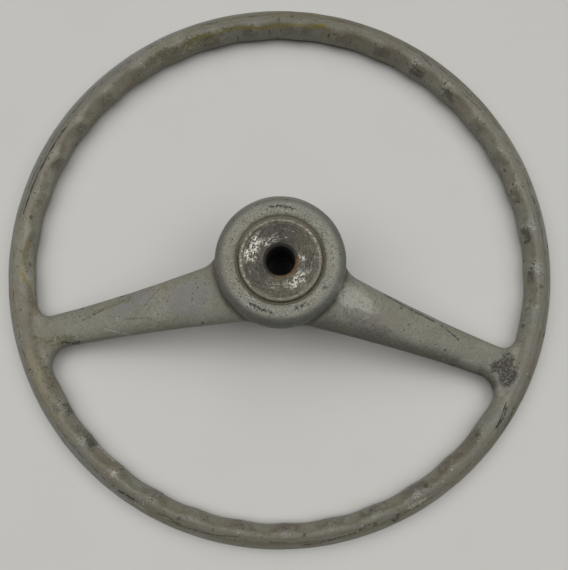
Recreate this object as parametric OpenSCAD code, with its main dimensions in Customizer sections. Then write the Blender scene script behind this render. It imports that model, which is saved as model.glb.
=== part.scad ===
// Two-spoke car steering wheel, lying on its front side with the back of the hub upwards.
// The origin is on the wheel's axis, level with the lowest line of the rim. +Y points to the top of the wheel.

/* [Rim] */
// Outer diameter of the rim
rim_d = 400; // [370:1:430]
// Thickness of the round rim
rim_thick = 18.8; // [17:0.2:24]

/* [Finger grips] */
// Depth of a finger recess below the crests to its sides
grip_depth = 1.4; // [0.8:0.1:1.8]
// How far the crests between the recesses lie below the round of the rim
grip_crest = 0.6; // [0.3:0.1:0.9]
// Direction in which the recesses face, turned from the inner side of the rim towards its back
grip_facing = 20; // [10:1:40]
// How far a recess reaches round the rim's section, to each side of the direction it faces
grip_reach = 60; // [50:1:66]
// Number of recesses in the long arc above the spokes
grips_above = 20; // [14:1:24]
// Angle covered by the recesses above the spokes
grips_above_span = 188; // [160:1:192]
// Number of recesses in the short arc below the spokes
grips_below = 11; // [7:1:14]
// Angle covered by the recesses below the spokes
grips_below_span = 112; // [90:1:114]

/* [Spokes] */
// Angle of each spoke below the horizontal
spoke_droop = 14.7; // [10:0.1:20]
// Distance of a spoke's middle line below the wheel's axis
spoke_set = 11; // [6:0.1:12]
// Width of a spoke at the hub
spoke_w_hub = 41.6; // [34:0.2:44]
// Width of a spoke at the rim
spoke_w_rim = 24.4; // [20:0.2:30]
// How the width falls off: 1 gives straight edges, 2 gives edges that curve in towards the middle
spoke_taper = 1.85; // [1:0.05:2.2]
// Thickness of a spoke at the hub
spoke_t_hub = 18; // [14:0.5:22]
// Thickness of a spoke at the rim
spoke_t_rim = 11.5; // [9:0.5:14]
// Height of a spoke's middle above the rim's middle plane, at the hub
spoke_rise = 38; // [32:1:40]
// Fillet between a spoke's flat sides and the rim
fillet_rim_face = 12; // [6:0.5:16]
// Fillet between a spoke's upper edge and the rim
fillet_rim_up = 11; // [6:0.5:14]
// Fillet between a spoke's lower edge and the rim
fillet_rim_low = 15; // [8:0.5:18]
// Fillet between a spoke's edges and the hub
fillet_hub = 13; // [6:0.5:16]

/* [Hub] */
// Diameter of the hub at its back shoulder
hub_d = 86.6; // [82:0.2:92]
// Height of the hub's back face above the rim's middle plane
hub_rise = 60; // [58:1:68]
// Depth of the hub from its back face to its front face
hub_depth = 48; // [46:1:54]
// Radius of the rounded shoulder at the back
shoulder_r = 7.5; // [4:0.5:9]
// Radius of the rounded front edge
front_r = 8; // [4:0.5:8]
// How much the hub's radius shrinks from the shoulder to the front
hub_draft = 2; // [0.5:0.1:3]

/* [Boss] */
// Diameter of the metal boss at its back flange
boss_d = 56.2; // [52:0.2:58]
// Thickness of the back flange
boss_flange = 10; // [8:0.5:12]
// Diameter of the barrel in front of the flange
barrel_d = 36; // [32:0.5:40]
// Diameter of the shaft bore
bore_d = 19.2; // [16:0.1:22]
// Width of the chamfer round the mouth of the bore
bore_chamfer = 1.9; // [0.8:0.1:2.4]
// Radius of the rounded lip round the flange
lip_r = 1.45; // [1:0.05:1.8]
// Drop from the lip to the narrow land inside it
lip_drop = 0.8; // [0.3:0.1:1.2]
// Width of that land
land_w = 1.4; // [0.6:0.1:2]
// Depth of the dish between the land and the bore
dish_depth = 2; // [1:0.1:3]
// Width of the open groove round the flange
groove_w = 1.1; // [0.6:0.1:1.6]
// Depth of the open groove
groove_depth = 2.2; // [1:0.1:4]
// Gap all round where the boss and the cap sit in the moulding
seat_gap = 0.1; // [0.05:0.05:0.2]

/* [Front well and cap] */
// Diameter of the nut well in the front of the hub
well_d = 58; // [54:0.5:62]
// Depth of the nut well
well_depth = 14; // [12:0.5:16]
// How far the boss stands out of the floor of the nut well
nut_seat_rise = 1; // [0.2:0.1:2]
// Width of the ledge that the cap's edge seats on
cap_ledge = 3.2; // [2:0.1:4]
// Thickness of the cap's edge
cap_edge = 2.5; // [1.5:0.1:3]
// Height of the cap's dome in front of the hub
cap_dome = 6; // [3:0.5:8]
// Wall of the cap
cap_wall = 2.4; // [1.6:0.1:3]
// Length of the spigot that holds the cap in the well
cap_spigot = 6; // [3:0.5:8]

/* [Hidden] */

$fn = 96;
eps = 0.01;
tube_r = rim_thick / 2;
rim_r = rim_d / 2 - tube_r;
rim_in = rim_r - tube_r;
hub_r = hub_d / 2;
hub_back = tube_r + hub_rise;
hub_front = hub_back - hub_depth;
boss_r = boss_d / 2;
well_r = well_d / 2;
well_floor = hub_front + well_depth;
cap_r = well_r + cap_ledge;
// How deep a spoke's hidden ends reach into the hub and into the rim
root_depth = 19;
tip_depth = 5;
// How far the close sections of a spoke reach out of the hub and away from the rim
root_reach = 10;
tip_reach = 21;
// How far a spoke's root stays inside the wall of the hub
root_skin = hub_draft + 0.6;
// How far the fillets at the rim end inside its surface
rim_skin = 0.3;
// Roundness of a spoke's section: 2 is an ellipse, more is squarer
section_power = 2.6;
section_points = 24;

paint = [0.45, 0.45, 0.41];
steel = [0.56, 0.55, 0.52];

// Points on an arc about (x, y), from angle a to angle b in steps
function arc(x, y, r, a, b, steps) =
    [for (i = [0 : steps]) let (t = a + (b - a) * i / steps) [x + r * cos(t), y + r * sin(t)]];

// Radius of the hollow along the rim that drops by grip_depth between two crests that lie the angle pitch apart
function hollow_r(pitch) =
    let (
        crest_r = rim_r - (tube_r - grip_crest) * cos(grip_facing),
        chord = crest_r * sin(pitch / 2),
        depth = grip_depth + crest_r * (1 - cos(pitch / 2)) * cos(grip_facing)
    )
    (chord * chord + depth * depth) / (2 * depth);

// In the rim's section a recess is a flatter arc. It runs out on the rim at grip_reach to each side,
// and its middle lies arc_back behind the rim's own.
floor_r = tube_r - grip_crest - grip_depth;
arc_back = (pow(tube_r, 2) - pow(floor_r, 2)) / (2 * (floor_r - tube_r * cos(grip_reach)));
arc_r = floor_r + arc_back;

// The cutter of one recess at the angle at: a thick ring that stands round the rim,
// with a hole of radius arc_r that widens to both sides
module scoop(at, pitch) {
    r = hollow_r(pitch);
    rotate([0, 0, at])
        translate([rim_r, 0, tube_r])
            rotate([0, grip_facing, 0])
                translate([arc_back, 0, 0])
                    rotate([90, 0, 0])
                        rotate_extrude()
                            translate([arc_r + r, 0])
                                circle(r = r);
}

// The rim with the first recesses of a row cut into it one after another. The row starts at the angle from.
module scooped(count, pitch, from) {
    if (count < 1)
        children();
    else
        difference() {
            scooped(count - 1, pitch, from)
                children();
            scoop(from + (count - 0.5) * pitch, pitch);
        }
}

module rim() {
    scooped(grips_above, grips_above_span / grips_above, 90 - grips_above_span / 2)
        scooped(grips_below, grips_below_span / grips_below, 270 - grips_below_span / 2)
            translate([0, 0, tube_r])
                rotate_extrude()
                    translate([rim_r, 0])
                        circle(r = tube_r);
}

// Extra width of a spoke edge near the rim: a fillet that is tangent to the edge and to the rim's inner line.
// y is the edge's distance from the line through the wheel's axis, and r is the fillet's radius.
function rim_flare(s, y, r) =
    let (
        start = sqrt(pow(rim_in - r, 2) - pow(y + r, 2)),
        end = start * rim_in / (rim_in - r)
    )
    s <= start ? 0 : r - sqrt(max(0, r * r - pow(min(s, end) - start, 2)));

// Extra width of a spoke edge near the hub: a fillet that is tangent to the edge and to the hub's wall.
// Inside the wall the edge stays root_skin below the wall's surface.
function hub_flare(s, y, r) =
    let (
        start = sqrt(pow(hub_r + r, 2) - pow(y + r, 2)),
        end = start * hub_r / (hub_r + r)
    )
    s >= start ? 0
        : s >= end ? r - sqrt(r * r - pow(start - s, 2))
        : sqrt(pow(hub_r - root_skin, 2) - s * s) - y;

// Extra thickness of a spoke's flat sides near the rim: a fillet that is tangent to the side and to the rim's section,
// and ends rim_skin inside the rim
function face_flare(s) =
    let (
        r = fillet_rim_face,
        section_r = tube_r - rim_skin,
        run = sqrt(pow(section_r + r, 2) - pow(spoke_t_rim / 2 + r, 2)),
        start = rim_r - run,
        end = rim_r - run * section_r / (section_r + r)
    )
    s <= start ? 0 : r - sqrt(max(0, r * r - pow(min(s, end) - start, 2)));

// Share of the way from the rim (0) to the hub (1) at the distance s from the wheel's axis, also past both
function along(s) = (rim_in - s) / (rim_in - hub_r);
function curved(share, power) = sign(share) * pow(abs(share), power);
function half_width(s) = (spoke_w_rim + (spoke_w_hub - spoke_w_rim) * curved(along(s), spoke_taper)) / 2;
function half_thickness(s) = (spoke_t_rim + (spoke_t_hub - spoke_t_rim) * along(s)) / 2 + face_flare(s);
function middle_height(s) = tube_r + spoke_rise * curved(along(s), 1.1);

// Upper and lower edge of the spoke, measured from the line through the wheel's axis
function upper_edge(s) =
    let (y = half_width(s) - spoke_set)
    y + hub_flare(s, y, fillet_hub) + rim_flare(s, y, fillet_rim_up);
function lower_edge(s) =
    let (y = half_width(s) + spoke_set)
    -y - hub_flare(s, y, fillet_hub) - rim_flare(s, y, fillet_rim_low);

// A power of the sine or cosine that keeps its sign, for the rounded section
function soft(c) = sign(c) * pow(abs(c), 2 / section_power);

// The spoke's section at the distance s, as a closed ring of points
function section(s) =
    let (
        top = upper_edge(s),
        low = lower_edge(s)
    )
    [for (i = [0 : section_points - 1]) let (a = 360 * i / section_points) [
        s,
        (top + low) / 2 + (top - low) / 2 * soft(cos(a)),
        middle_height(s) + half_thickness(s) * soft(sin(a))
    ]];

// Where the sections stand: close together in both fillets, far apart along the straight blade
root_start = hub_r - root_depth;
root_end = hub_r + root_reach;
tip_start = rim_in - tip_reach;
stations = [
    for (i = [0 : 10]) root_start + (root_end - root_start) * i / 10,
    for (i = [1 : 5]) root_end + (tip_start - root_end) * i / 6,
    for (a = [0 : 10 : 90]) tip_start + (rim_in - tip_start) * sin(a),
    rim_in + tip_depth
];

// A solid through a list of sections, each with the same number of points
module loft(sections) {
    n = len(sections[0]);
    last = len(sections) - 1;
    polyhedron(
        points = [for (ring = sections) for (p = ring) p],
        faces = [
            [for (i = [0 : n - 1]) i],
            for (j = [0 : last - 1]) for (i = [0 : n - 1])
                let (k = (i + 1) % n) each [
                    [j * n + i, (j + 1) * n + i, (j + 1) * n + k],
                    [j * n + i, (j + 1) * n + k, j * n + k]
                ],
            [for (i = [n - 1 : -1 : 0]) last * n + i]
        ]
    );
}

module spoke() {
    rotate([0, 0, -spoke_droop])
        loft([for (s = stations) section(s)]);
}

// The hub before it is hollowed: a round body with a rounded shoulder, a slight draft and a rounded front edge
module hub_body() {
    front_wall = hub_r - hub_draft;
    rotate_extrude()
        polygon(concat(
            [[0, hub_front]],
            arc(front_wall - front_r, hub_front + front_r, front_r, -90, 0, 8),
            arc(hub_r - shoulder_r, hub_back - shoulder_r, shoulder_r, 0, 90, 10),
            [[0, hub_back]]
        ));
}

// The room for the boss, from the open groove round its flange to the nut well in the front
module hub_hollow() {
    flange_back = hub_back - boss_flange;
    translate([0, 0, hub_back - groove_depth])
        cylinder(r = boss_r + groove_w, h = groove_depth + eps);
    translate([0, 0, flange_back])
        cylinder(r = boss_r + seat_gap, h = boss_flange + eps);
    translate([0, 0, hub_front - eps])
        cylinder(d = barrel_d + 2 * seat_gap, h = hub_depth);
    translate([0, 0, hub_front - eps])
        cylinder(r = well_r, h = well_depth + eps);
    translate([0, 0, hub_front - eps])
        cylinder(r = cap_r, h = cap_edge + eps);
}

// Rim, both spokes and hub in one piece
module wheel_moulding() {
    color(paint)
        difference() {
            union() {
                rim();
                hub_body();
                spoke();
                mirror([1, 0, 0])
                    spoke();
            }
            hub_hollow();
        }
}

// The turned boss: a lipped and dished flange at the back, a barrel, and the bore right through
module hub_boss() {
    bore_r = bore_d / 2;
    lip_mid = boss_r - lip_r;
    lip_base = hub_back - lip_r;
    land_z = hub_back - lip_drop;
    land_out = boss_r - 2 * lip_r;
    land_in = land_out - land_w;
    dish_z = land_z - dish_depth;
    nut_seat = well_floor - nut_seat_rise;
    color(steel)
        rotate_extrude() {
            polygon([
                [bore_r, nut_seat],
                [barrel_d / 2, nut_seat],
                [barrel_d / 2, hub_back - boss_flange],
                [boss_r, hub_back - boss_flange],
                [boss_r, lip_base],
                [land_out, lip_base],
                [land_out, land_z],
                [land_in, land_z],
                [bore_r + bore_chamfer, dish_z],
                [bore_r, dish_z - bore_chamfer]
            ]);
            translate([lip_mid, lip_base])
                circle(r = lip_r);
        }
}

// The plain domed cap that closes the nut well
module centre_cap() {
    edge_r = cap_r - seat_gap;
    spigot_r = well_r - seat_gap;
    seat = hub_front + cap_edge;
    dome_low = hub_front - cap_dome;
    // Radius of the sphere whose cap spans the edge with the dome's height
    dome_r = (edge_r * edge_r + cap_dome * cap_dome) / (2 * cap_dome);
    half = asin(edge_r / dome_r);
    inner_r = spigot_r - cap_wall;
    color(paint)
        rotate_extrude()
            polygon(concat(
                arc(0, dome_low + dome_r, dome_r, -90, half - 90, 12),
                [
                    [edge_r, seat],
                    [spigot_r, seat],
                    [spigot_r, seat + cap_spigot],
                    [inner_r, seat + cap_spigot],
                    [inner_r, hub_front + cap_wall / 2],
                    [0, dome_low + cap_wall]
                ]
            ));
}

wheel_moulding();
hub_boss();
centre_cap();
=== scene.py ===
"""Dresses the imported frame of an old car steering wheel: worn grey paint, a turned metal boss and a plain cap."""
import math
from functools import cache

import bmesh
import bpy
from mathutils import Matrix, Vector, noise


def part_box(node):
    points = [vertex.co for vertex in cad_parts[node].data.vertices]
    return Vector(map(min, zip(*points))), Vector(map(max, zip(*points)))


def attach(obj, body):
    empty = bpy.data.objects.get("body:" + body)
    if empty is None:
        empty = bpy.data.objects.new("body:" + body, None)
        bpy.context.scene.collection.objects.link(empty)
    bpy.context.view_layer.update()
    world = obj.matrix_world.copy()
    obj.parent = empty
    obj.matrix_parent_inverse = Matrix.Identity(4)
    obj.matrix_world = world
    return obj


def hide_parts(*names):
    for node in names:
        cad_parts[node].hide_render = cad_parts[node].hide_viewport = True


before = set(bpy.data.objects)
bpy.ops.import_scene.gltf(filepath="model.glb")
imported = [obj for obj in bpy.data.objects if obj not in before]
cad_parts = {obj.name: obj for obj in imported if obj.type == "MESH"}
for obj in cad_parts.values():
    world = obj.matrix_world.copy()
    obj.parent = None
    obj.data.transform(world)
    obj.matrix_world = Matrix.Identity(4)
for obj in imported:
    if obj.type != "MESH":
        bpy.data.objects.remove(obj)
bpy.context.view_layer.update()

bl_info = {
    "name": "Old car steering wheel",
    "version": (1, 0, 0),
    "blender": (4, 5, 0),
    "location": "3D View > Sidebar > Steering wheel",
    "description": "Builds the worn moulding, the turned boss, the cap and a plain studio round the packed frame",
    "category": "Object",
}

BODY = "root"
MOULDING_NODE = "wheel_moulding"
BOSS_NODE = "hub_boss"
CAP_NODE = "centre_cap"
SHARP_ANGLE = math.radians(32)
MERGE_DISTANCE = 1e-6
PHOTO_LONG_SIDE = 570
MM = 0.001
# A round of smoothing shrinks the skin and then swells it a little more, which keeps its thickness
SMOOTH_SHRINK, SMOOTH_SWELL = 0.5, -0.53
# Reach in mm of each pass that rounds the corners below the spokes, and the rounds in a pass
CORNER_REACHES, CORNER_ROUNDS = (15, 12, 9), 14
# The crests rise most at this angle round the rim's section, and fade over this many degrees
CREST_FACING, CREST_FADE = 45, 34
# The boss: thickness of its flange, depths of the narrow land and of the dish below the lip's top, and chamfer
FLANGE, LAND_DEPTH, DISH_DEPTH, MOUTH = 10 * MM, 0.8 * MM, 2.8 * MM, 1.9 * MM


def srgb(red, green, blue):
    """A colour given in screen values from 0 to 255, as Blender's linear values."""
    def linear(value):
        value /= 255
        return value / 12.92 if value <= 0.04045 else ((value + 0.055) / 1.055) ** 2.4

    return tuple(linear(value) for value in (red, green, blue))


def tint(name, description, *rgb):
    """A colour property, with its default in screen values."""
    return bpy.props.FloatVectorProperty(
        name=name, description=description, subtype="COLOR", size=3, min=0, max=1, default=srgb(*rgb)
    )


def length(name, description, mm):
    """A length property, with its default in mm."""
    return bpy.props.FloatProperty(
        name=name, description=description, default=mm * MM, min=0, unit="LENGTH", precision=4
    )


def angle(name, description, degrees):
    """An angle property, with its default in degrees."""
    return bpy.props.FloatProperty(
        name=name, description=description, default=math.radians(degrees), unit="ROTATION"
    )


class MouldingSettings(bpy.types.PropertyGroup):
    """Sizes and colours of the moulded rim, spokes and hub."""

    rim_radius: length("Rim radius", "From the wheel's axis to the middle of the rim", 190.6)
    tube_radius: length("Rim half thickness", "Radius of the round rim", 9.4)
    hub_radius: length("Hub radius", "Radius of the hub's wall", 43.3)
    hub_back: length("Hub back", "Height of the hub's back face", 69.4)
    groove_radius: length("Groove radius", "Outer radius of the groove round the boss", 29.2)
    grain_size: length("Mesh size", "Size of the faces of the rebuilt skin", 1.2)
    smoothing: bpy.props.IntProperty(
        name="Smoothing", description="Rounds of smoothing over the rebuilt skin", default=7, min=0
    )
    lump_height: length("Lumps", "Height of the slow lumps in the hand-worn skin", 0.14)
    lump_size: length("Lump size", "Size of the slow lumps", 13)
    crest_height: length("Crest height", "Extra height of the crests between the finger recesses", 0.25)
    crest_width: length("Crest width", "Half width of a crest", 3.5)
    corner_radius: length("Corner radius", "From the axis to the corners below the spokes", 182.6)
    corner_angle: angle("Corner angle", "How far these corners lie below the level of the axis", 26.1)
    paint: tint("Paint", "Main greenish grey of the old paint", 117, 117, 105)
    paint_brown: tint("Browned paint", "Paint that has gone brown", 112, 106, 92)
    paint_blue: tint("Bluish paint", "Paint that has kept a cooler grey", 119, 120, 115)
    cool: tint("Cool wear", "Cool grey of the rim's worn outer side", 118, 124, 129)
    # This film colour also lays painted shade along the back of the rim
    film: tint("Dull film", "Thin brown film of dirt and grease", 92, 88, 76)
    olive: tint("Olive dirt", "Oily dirt in streaks", 92, 88, 60)
    ochre: tint("Ochre stain", "Yellow stain on the rim", 112, 103, 48)
    tan: tint("Tan wear", "Paint rubbed down to a tan undercoat", 140, 130, 108)
    pale: tint("Pale flecks", "Chalky flecks of bare undercoat", 170, 168, 157)
    blotch: tint("Blotches", "Brownish blotches on the rim", 98, 91, 82)
    # Colour of the painted shade below the crests
    crest_shade: tint("Smudges", "Brown smudges beside the crests", 88, 80, 73)
    scuff: tint("Scuffs", "Scuffed paint on the right spoke", 97, 94, 87)
    patch: tint("Dark patch", "Ground of the pitted patch where the right spoke meets the rim", 94, 88, 82)
    grime: tint("Grime", "Dark grime and pits", 44, 41, 36)


class BossSettings(bpy.types.PropertyGroup):
    """Sizes and colours of the turned boss."""

    bore_radius: length("Bore radius", "Radius of the shaft bore", 9.6)
    flange_radius: length("Flange radius", "Radius of the back flange", 28.1)
    barrel_radius: length("Barrel radius", "Radius of the barrel in front of the flange", 18)
    back: length("Back", "Height of the lip's top", 69.4)
    lip_radius: length("Lip radius", "Radius of the rounded lip's outer side", 2.5)
    crust_radius: length("Crust radius", "Outer radius of the dirt in the groove round the flange", 29.1)
    # Also the colour of the painted highlights and glints
    steel: tint("Bare steel", "Steel rubbed bright", 204, 200, 188)
    dull: tint("Dull steel", "Old, dull steel", 96, 91, 77)
    soot: tint("Dark film", "Dark brown oil film", 56, 51, 44)
    rust: tint("Rust", "Rust round the mouth of the bore", 122, 88, 52)


class CapSettings(bpy.types.PropertyGroup):
    """Sizes of the cap in the front of the hub."""

    edge_radius: length("Edge radius", "Radius of the cap's edge", 32.1)
    edge: length("Edge", "Thickness of the cap's edge", 2.5)
    dome: length("Dome", "Height of the dome in front of the hub", 6)
    wall: length("Wall", "Thickness of the cap's wall", 2.4)
    spigot_radius: length("Spigot radius", "Radius of the spigot that sits in the well", 28.9)
    spigot: length("Spigot", "Length of the spigot", 6)
    hub_front: length("Hub front", "Height of the hub's front face", 21.4)


class StageSettings(bpy.types.PropertyGroup):
    """The camera, the lamps and the floor."""

    camera_x: length("Camera X", "Camera's place to the side of the wheel's axis", 4.9)
    camera_y: bpy.props.FloatProperty(
        name="Camera Y", description="Camera's place below the wheel's axis", default=-78.6 * MM, unit="LENGTH"
    )
    camera_z: length("Camera height", "Height of the camera over the floor", 460.7)
    camera_tilt: angle("Camera tilt", "Tilt of the camera towards the top of the wheel", 2.70)
    camera_roll: angle("Camera roll", "Tilt of the camera to the side", -0.42)
    camera_turn: angle("Camera turn", "Turn of the camera about the vertical", 4.0)
    focal_pixels: bpy.props.FloatProperty(
        name="Focal length", description="Focal length in pixels of the photo", default=613.0
    )
    shift_pixels: bpy.props.FloatProperty(
        name="Shift", description="How far the camera's axis lies below the photo's middle, in pixels", default=68.0
    )
    floor_size: length("Floor size", "Width of the floor", 8000)
    floor: tint("Floor", "Pale floor", 192, 191, 187)
    sky_angle: angle("Lamp width", "Apparent width of each soft lamp", 50)
    world_light: bpy.props.FloatProperty(name="Sky", description="Strength of the even light all round", default=0.12)


def arithmetic(operation):
    """The methods for a value on the left and on the right of an arithmetic sign."""
    def left(self, other):
        return self.graph.math(operation, self, other)

    def right(self, other):
        return self.graph.math(operation, other, self)

    return left, right


class Value:
    """A number that runs through a node tree. Arithmetic with it adds math nodes."""

    def __init__(self, graph, socket):
        self.graph = graph
        self.socket = socket

    __add__, __radd__ = arithmetic("ADD")
    __sub__, __rsub__ = arithmetic("SUBTRACT")
    __mul__, __rmul__ = arithmetic("MULTIPLY")
    __truediv__, __rtruediv__ = arithmetic("DIVIDE")


class Graph:
    """Adds nodes to a node tree and feeds their inputs with plain values or with other nodes' outputs."""

    def __init__(self, tree):
        self.tree = tree

    def feed(self, socket, value):
        if isinstance(value, Value):
            value = value.socket
        if isinstance(value, bpy.types.NodeSocket):
            self.tree.links.new(value, socket)
        elif socket.type == "RGBA":
            socket.default_value = (*tuple(value)[:3], 1.0)
        else:
            socket.default_value = value

    def add(self, kind, inputs=None, **settings):
        node = self.tree.nodes.new("ShaderNode" + kind)
        for name, value in settings.items():
            setattr(node, name, value)
        for key, value in (inputs or {}).items():
            self.feed(node.inputs[key], value)
        return node

    def value(self, kind, inputs, output=0, **settings):
        return Value(self, self.add(kind, inputs, **settings).outputs[output])

    def math(self, operation, *values):
        return self.value("Math", dict(enumerate(values)), operation=operation)

    def vector_math(self, operation, *vectors):
        return self.add("VectorMath", dict(enumerate(vectors)), operation=operation).outputs[0]

    def measure(self, operation, *vectors):
        """The length of a vector or the product of two, as a value."""
        return self.value("VectorMath", dict(enumerate(vectors)), 1, operation=operation)

    def combine(self, x, y, z):
        return self.add("CombineXYZ", {0: x, 1: y, 2: z}).outputs[0]

    def parts(self, vector):
        """The three parts of a vector. Products keep the renderer's list of nodes in order, where a
        Separate XYZ node would ask for a change of type."""
        return [self.measure("DOT_PRODUCT", vector, axis) for axis in ((1, 0, 0), (0, 1, 0), (0, 0, 1))]

    def step(self, value, low, high, at_low=0.0, at_high=1.0):
        """Goes smoothly from at_low to at_high while value goes from low to high."""
        return self.value(
            "MapRange",
            {"Value": value, "From Min": low, "From Max": high, "To Min": at_low, "To Max": at_high},
            interpolation_type="SMOOTHSTEP", clamp=False,
        )

    def window(self, value, low, high, soft):
        """1 while value is between low and high, with soft ends."""
        rise = self.step(value, low - soft, low + soft)
        return rise * self.step(value, high - soft, high + soft, 1.0, 0.0)

    def mm_step(self, value, low, high):
        return self.step(value, low * MM, high * MM)

    def mm_window(self, value, low, high, soft):
        return self.window(value, low * MM, high * MM, soft * MM)

    def spans(self, value, table, soft):
        """The sum of several windows, each given as its low end, high end and strength."""
        windows = [self.window(value, low, high, soft) * strength for low, high, strength in table]
        return sum(windows[1:], windows[0])

    def most(self, *masks):
        result = masks[0]
        for mask in masks[1:]:
            result = self.math("MAXIMUM", result, mask)
        return result

    def mix(self, factor, a, b):
        return self.add("Mix", {0: factor, 6: a, 7: b}, data_type="RGBA").outputs[2]

    def shaded(self, colour, factor):
        """A colour made lighter or darker by a factor."""
        return self.add("HueSaturation", {"Color": colour, "Value": factor}).outputs[0]

    def line_noise(self, value, detail, roughness):
        """Noise along a single value."""
        inputs = {"W": value, "Scale": 1.0, "Detail": detail, "Roughness": roughness}
        return self.value("TexNoise", inputs, noise_dimensions="1D")

    def group(self, tree, inputs):
        """Adds a shader group and gives its outputs by name."""
        node = self.add("Group", inputs, node_tree=tree)
        return {socket.name: Value(self, socket) for socket in node.outputs}


def new_group(name, inputs, outputs):
    """An empty shader group with its sockets, of which all outputs are numbers.
    Returns the tree, its graph, the inputs by name and the sockets that take the results."""
    tree = bpy.data.node_groups.new(name, "ShaderNodeTree")
    for socket, kind in inputs.items():
        tree.interface.new_socket(name=socket, in_out="INPUT", socket_type="NodeSocket" + kind)
    for socket in outputs:
        tree.interface.new_socket(name=socket, in_out="OUTPUT", socket_type="NodeSocketFloat")
    g = Graph(tree)
    sockets = tree.nodes.new("NodeGroupInput").outputs
    given = {key: Value(g, sockets[key]) if kind == "Float" else sockets[key] for key, kind in inputs.items()}
    return tree, g, given, tree.nodes.new("NodeGroupOutput").inputs


@cache
def round_coordinates():
    """Splits a place into its angle round the wheel's axis, its distance from the axis and its height."""
    tree, g, given, result = new_group("Round coordinates", {"Position": "Vector"}, ("Angle", "Radius", "Height"))
    x, y, z = g.parts(given["Position"])
    degrees = g.math("DEGREES", g.math("ARCTAN2", y, x))
    g.feed(result["Angle"], g.math("FLOORED_MODULO", degrees, 360.0))
    g.feed(result["Radius"], g.measure("LENGTH", g.combine(x, y, 0.0)))
    g.feed(result["Height"], z)
    return tree


@cache
def line_mark():
    """A ragged stroke between two places, seen from above. Wobble is a noise that goes to both sides of 0."""
    tree, g, given, result = new_group(
        "Line mark",
        {"Place": "Vector", "Start": "Vector", "End": "Vector", "Half width": "Float", "Wobble": "Float"},
        ("Mask",),
    )
    reach = g.vector_math("SUBTRACT", given["End"], given["Start"])
    offset = g.vector_math("SUBTRACT", given["Place"], given["Start"])
    share = g.measure("DOT_PRODUCT", offset, reach) / g.measure("DOT_PRODUCT", reach, reach)
    share = g.math("MAXIMUM", g.math("MINIMUM", share, 1.0), 0.0)
    nearest = g.add("VectorMath", {0: reach, "Scale": share}, operation="SCALE").outputs[0]
    distance = g.measure("LENGTH", g.vector_math("SUBTRACT", offset, nearest))
    g.feed(result["Mask"], g.step(distance / given["Half width"] + given["Wobble"], 1.0, 0.4))
    return tree


@cache
def flecks():
    """Small ragged dots strewn over a surface. Amount is the share of the cells that hold one."""
    tree, g, given, result = new_group(
        "Flecks", {"Position": "Vector", "Size": "Float", "Amount": "Float"}, ("Mask",)
    )
    scale = 1.0 / given["Size"]
    cells = g.add("TexVoronoi", {"Vector": given["Position"], "Scale": scale, "Randomness": 1.0}).outputs
    chance, spread, _ = g.add("SeparateColor", {0: cells["Color"]}).outputs
    ragged = g.value("TexNoise", {"Vector": given["Position"], "Scale": scale * 2.5, "Detail": 1.0}, "Fac")
    distance = Value(g, cells["Distance"]) + (ragged - 0.5) * 0.5
    dot = g.step(distance / g.step(spread, 0.0, 1.0, 0.16, 0.46), 1.0, 0.55)
    g.feed(result["Mask"], dot * g.math("LESS_THAN", chance, given["Amount"]))
    return tree


class Surface(Graph):
    """The node tree of a material, with the place on the piece. Sizes are in mm."""

    def __init__(self, name):
        self.material = bpy.data.materials.new(name)
        self.material.use_nodes = True
        super().__init__(self.material.node_tree)
        self.place = self.add("TexCoord").outputs["Object"]

    def noise(self, size, detail=3.0, roughness=0.5, distortion=0.0, vector=None):
        return self.value("TexNoise", {
            "Vector": vector or self.place, "Scale": 1 / (size * MM),
            "Detail": detail, "Roughness": roughness, "Distortion": distortion,
        }, "Fac")

    def centred_noise(self, size, detail=3.0, roughness=0.5):
        """Noise that goes to both sides of 0."""
        return self.noise(size, detail, roughness) - 0.5

    def dots(self, size, amount, shift=0.0):
        """Flecks, of which another shift gives another strewing."""
        place = self.place
        if shift:
            place = self.add("Mapping", {"Vector": place, "Location": (shift, 0.7 * shift, 0.3 * shift)}).outputs[0]
        return self.group(flecks(), {"Position": place, "Size": size * MM, "Amount": amount})["Mask"]

    def oval(self, centre, half_sizes, turn, soft=0.35, ragged=1.2):
        """An oval area with a noisy edge, seen from above."""
        node = self.add("Mapping", {
            "Vector": self.place,
            "Location": (centre[0] * MM, centre[1] * MM, 0.0),
            "Rotation": (0.0, 0.0, math.radians(turn)),
        }, vector_type="TEXTURE")
        x, y, _ = self.parts(node.outputs[0])
        flat = self.combine(x / (half_sizes[0] * MM), y / (half_sizes[1] * MM), 0.0)
        wobble = self.centred_noise(4, 4.0, 0.6) * ragged
        return self.step(self.measure("LENGTH", flat) + wobble, 1.0 + soft, 1.0 - soft)

    def finish(self, inputs, height=None):
        """Feeds the shader's inputs, and the bump from a height. Returns the material."""
        if height is not None:
            inputs["Normal"] = self.add("Bump", {"Height": height, "Strength": 1.0, "Distance": 1.0}).outputs[0]
        shader = self.tree.nodes["Principled BSDF"].inputs
        for name, value in inputs.items():
            self.feed(shader[name], value)
        return self.material


class Coat:
    """The colour of a surface, to which layers are added."""

    def __init__(self, g, colour):
        self.g = g
        self.colour = colour

    def lay(self, colour, mask):
        self.colour = self.g.mix(mask, self.colour, colour)

    def shade(self, factor):
        self.colour = self.g.shaded(self.colour, factor)


# The two rows of finger recesses: angle of the first crest, angle between crests, number of recesses,
# and the angle at which the count round the wheel starts, all in degrees
GRIP_ROWS = ((-4.0, 9.4, 20, -90.0), (214.0, 112 / 11, 11, 0.0))

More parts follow.
